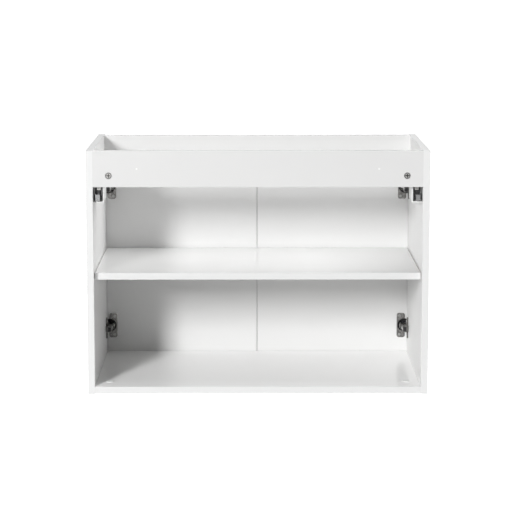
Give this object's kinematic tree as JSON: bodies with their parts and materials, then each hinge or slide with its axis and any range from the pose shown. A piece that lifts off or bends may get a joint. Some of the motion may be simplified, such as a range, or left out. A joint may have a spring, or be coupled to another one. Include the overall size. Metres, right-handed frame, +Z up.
{
  "type": "wall-hung washbasin cabinet",
  "caption": "White wall-hung base cabinet with paired doors on concealed hinges, a loose shelf, wall hangers, and an open back and top for a basin and its pipes.",
  "frame": {"origin": "centre of the rear rail's wall face", "axes": "+Z up, +Y towards the wall, doors face -Y, +X to the right as seen from the front"},
  "size_m": [0.8, 0.4575, 0.576],
  "materials": {
    "white_board": "white melamine-faced particle board with matching edge band, satin",
    "white_front": "white lacquered door board, satin",
    "white_plastic": "moulded white plastic",
    "black_plastic": "moulded black plastic",
    "clear_bumper": "soft translucent door buffer",
    "hinge_nickel": "nickel-plated pressed steel",
    "hinge_plate_nickel": "nickel-plated die-cast zinc",
    "hinge_link_nickel": "nickel-plated steel",
    "hanger_steel": "galvanised pressed steel",
    "hanger_hook_steel": "bright zinc-plated steel",
    "zinc_screw": "bright zinc-plated steel",
    "pin_steel": "plain steel",
    "cam_zinc": "die-cast zinc, nickel finish",
    "beech": "fluted beech dowel, hidden in the joint"
  },
  "bodies": {
    "case": {"bottom_panel": "white_board", "shelf": "white_board", "rear_rail": "white_board", "front_rail": "white_board", "rail_cams": "cam_zinc", "bottom_cams": "cam_zinc", "cam_bolts": "zinc_screw", "cam_caps": "white_plastic", "wood_dowels": "beech", "rail_plugs": "white_plastic", "shelf_pins": "pin_steel", "hinge_plate_screws": "zinc_screw", "hinge_arm_screws": "zinc_screw", "hinge_arm_pins": "pin_steel", "hanger_screws": "zinc_screw", "hanger_pegs": "black_plastic", "side_panel_left": "white_board", "hanger_cover_left": "white_plastic", "hanger_housing_left": "hanger_steel", "hinge_arm_left_lower": "hinge_nickel", "hinge_plate_left_lower": "hinge_plate_nickel", "hinge_arm_left_upper": "hinge_nickel", "hinge_plate_left_upper": "hinge_plate_nickel", "side_panel_right": "white_board", "hanger_cover_right": "white_plastic", "hanger_housing_right": "hanger_steel", "hinge_arm_right_lower": "hinge_nickel", "hinge_plate_right_lower": "hinge_plate_nickel", "hinge_arm_right_upper": "hinge_nickel", "hinge_plate_right_upper": "hinge_plate_nickel"},
    "left_links": {"hinge_link_left_lower": "hinge_link_nickel", "hinge_link_left_upper": "hinge_link_nickel"},
    "left_levers": {"hinge_lever_left_lower": "hinge_link_nickel", "hinge_lever_left_upper": "hinge_link_nickel"},
    "left_door": {"door_left": "white_front", "door_bumpers_left": "clear_bumper", "cup_screws_left": "zinc_screw", "cup_pins_left": "pin_steel", "hinge_cup_left_lower": "hinge_nickel", "hinge_cup_left_upper": "hinge_nickel"},
    "left_hook": {"hanger_hook_left": "hanger_hook_steel", "hanger_slider_left": "black_plastic", "hanger_adjuster_left": "cam_zinc"},
    "right_links": {"hinge_link_right_lower": "hinge_link_nickel", "hinge_link_right_upper": "hinge_link_nickel"},
    "right_levers": {"hinge_lever_right_lower": "hinge_link_nickel", "hinge_lever_right_upper": "hinge_link_nickel"},
    "right_door": {"door_right": "white_front", "door_bumpers_right": "clear_bumper", "cup_screws_right": "zinc_screw", "cup_pins_right": "pin_steel", "hinge_cup_right_lower": "hinge_nickel", "hinge_cup_right_upper": "hinge_nickel"},
    "right_hook": {"hanger_hook_right": "hanger_hook_steel", "hanger_slider_right": "black_plastic", "hanger_adjuster_right": "cam_zinc"}
  },
  "joints": [
    {"name": "left_door_swing", "type": "hinge", "parent": "left_links", "child": "left_door", "pos_m": [-0.3885, -0.4445, -0.27], "axis": [0, 0, -1], "range_deg": [0, 160.65], "stiffness_Nm_per_rad": 0.12, "springref_deg": -34.38},
    {"name": "left_link_swing", "type": "hinge", "parent": "case", "child": "left_links", "pos_m": [-0.3722, -0.4424, -0.27], "axis": [0, 0, -1], "range_deg": [-56.15, 0.5]},
    {"name": "left_lever_swing", "type": "hinge", "parent": "case", "child": "left_levers", "pos_m": [-0.3665, -0.439, -0.27], "axis": [0, 0, -1], "range_deg": [-40.3, 0.5]},
    {"name": "left_hook_reach", "type": "slide", "parent": "case", "child": "left_hook", "axis": [0, 1, 0], "range_m": [0, 0.008]},
    {"name": "right_door_swing", "type": "hinge", "parent": "right_links", "child": "right_door", "pos_m": [0.3885, -0.4445, -0.27], "axis": [0, 0, 1], "range_deg": [0, 160.65], "stiffness_Nm_per_rad": 0.12, "springref_deg": -34.38},
    {"name": "right_link_swing", "type": "hinge", "parent": "case", "child": "right_links", "pos_m": [0.3722, -0.4424, -0.27], "axis": [0, 0, 1], "range_deg": [-56.15, 0.5]},
    {"name": "right_lever_swing", "type": "hinge", "parent": "case", "child": "right_levers", "pos_m": [0.3665, -0.439, -0.27], "axis": [0, 0, 1], "range_deg": [-40.3, 0.5]},
    {"name": "right_hook_reach", "type": "slide", "parent": "case", "child": "right_hook", "axis": [0, 1, 0], "range_m": [0, 0.008]}
  ],
  "couplings": [
    {"joint": "left_link_swing", "follows": "left_door_swing", "ratio": -0.34641},
    {"joint": "left_lever_swing", "follows": "left_door_swing", "ratio": -0.24771},
    {"joint": "right_link_swing", "follows": "right_door_swing", "ratio": -0.34641},
    {"joint": "right_lever_swing", "follows": "right_door_swing", "ratio": -0.24771}
  ]
}
